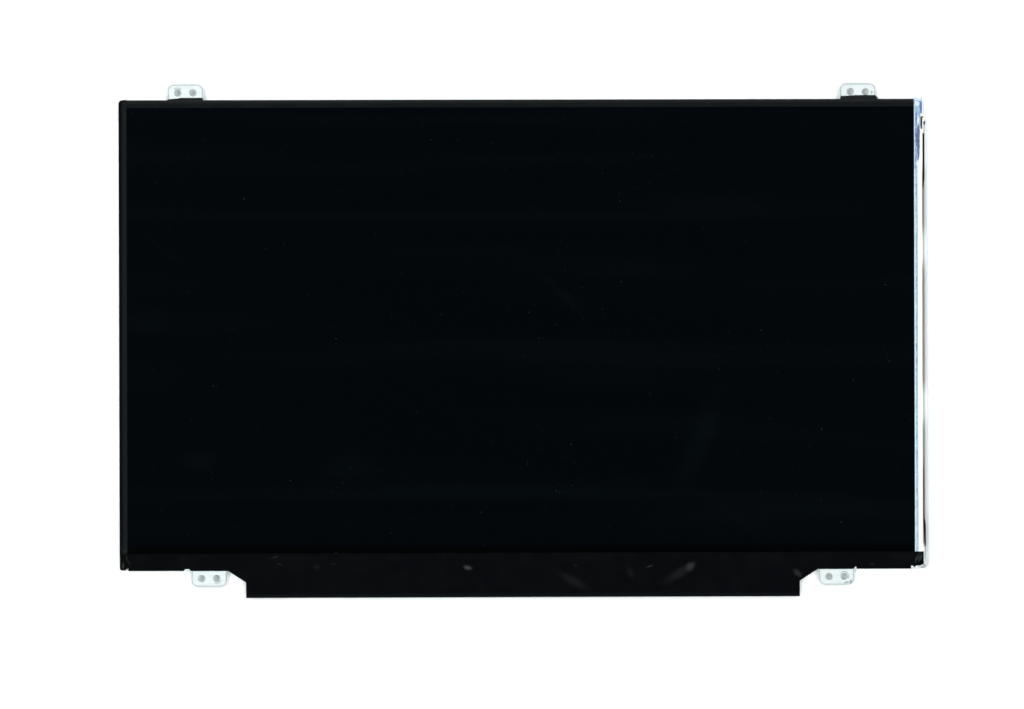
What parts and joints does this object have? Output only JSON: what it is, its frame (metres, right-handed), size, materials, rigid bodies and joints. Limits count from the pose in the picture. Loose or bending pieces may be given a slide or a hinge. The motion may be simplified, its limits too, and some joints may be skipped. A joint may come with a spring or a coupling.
{
  "type": "laptop screen panel",
  "caption": "Slim flat display panel for a laptop lid: dark screen in a black-taped frame on a folded metal back, with screw ears and a driver board along its lower edge.",
  "frame": {"origin": "middle of the back cover's rear face", "axes": "+X to the right of the screen seen from the front, +Y to its top, +Z out of the screen"},
  "size_m": [0.3215, 0.2038, 0.003],
  "materials": {
    "aluminium_sheet": "satin",
    "white_moulding": "matt moulded",
    "white_film": "matt film",
    "prism_film": "ribbed film",
    "clear_acrylic": "polished",
    "amber_flex": "glossy film",
    "led_package": "moulded",
    "black_tape": "matt film",
    "clear_film": "torn, crumpled film",
    "polarizer": "anti-glare film",
    "panel_glass": "polished",
    "board_laminate": "solder mask",
    "chip_body": "moulded",
    "ferrite": "sintered",
    "ceramic": "fired",
    "resistor_body": "glazed",
    "connector_plastic": "moulded",
    "connector_shell": "tinned",
    "contact_metal": "gold plated",
    "latch_plastic": "moulded"
  },
  "bodies": {
    "root": {"back_cover": "aluminium_sheet", "mould_frame": "white_moulding", "reflector": "white_film", "light_guide": "clear_acrylic", "lower_diffuser": "white_film", "lower_prism_sheet": "prism_film", "upper_prism_sheet": "prism_film", "upper_diffuser": "white_film", "led_strip": "amber_flex", "leds": "led_package", "rim_tape": "black_tape", "rear_polarizer": "polarizer", "array_glass": "panel_glass", "colour_filter_glass": "panel_glass", "front_polarizer": "polarizer", "circuit_board": "board_laminate", "timing_chip": "chip_body", "power_chip": "chip_body", "led_driver_chip": "chip_body", "memory_chip": "chip_body", "gamma_chip": "chip_body", "power_inductor": "ferrite", "boost_inductor": "ferrite", "diodes": "chip_body", "capacitors": "ceramic", "resistors": "resistor_body", "signal_connector_housing": "connector_plastic", "signal_connector_shell": "connector_shell", "signal_contacts": "contact_metal", "backlight_connector": "connector_plastic", "backlight_connector_latch": "latch_plastic", "top_tape": "black_tape", "left_tape": "black_tape", "bottom_tape": "black_tape", "side_film_scrap": "clear_film", "driver_film_1": "amber_flex", "driver_chip_1": "chip_body", "driver_film_2": "amber_flex", "driver_chip_2": "chip_body", "driver_film_3": "amber_flex", "driver_chip_3": "chip_body", "driver_film_4": "amber_flex", "driver_chip_4": "chip_body"}
  },
  "joints": []
}
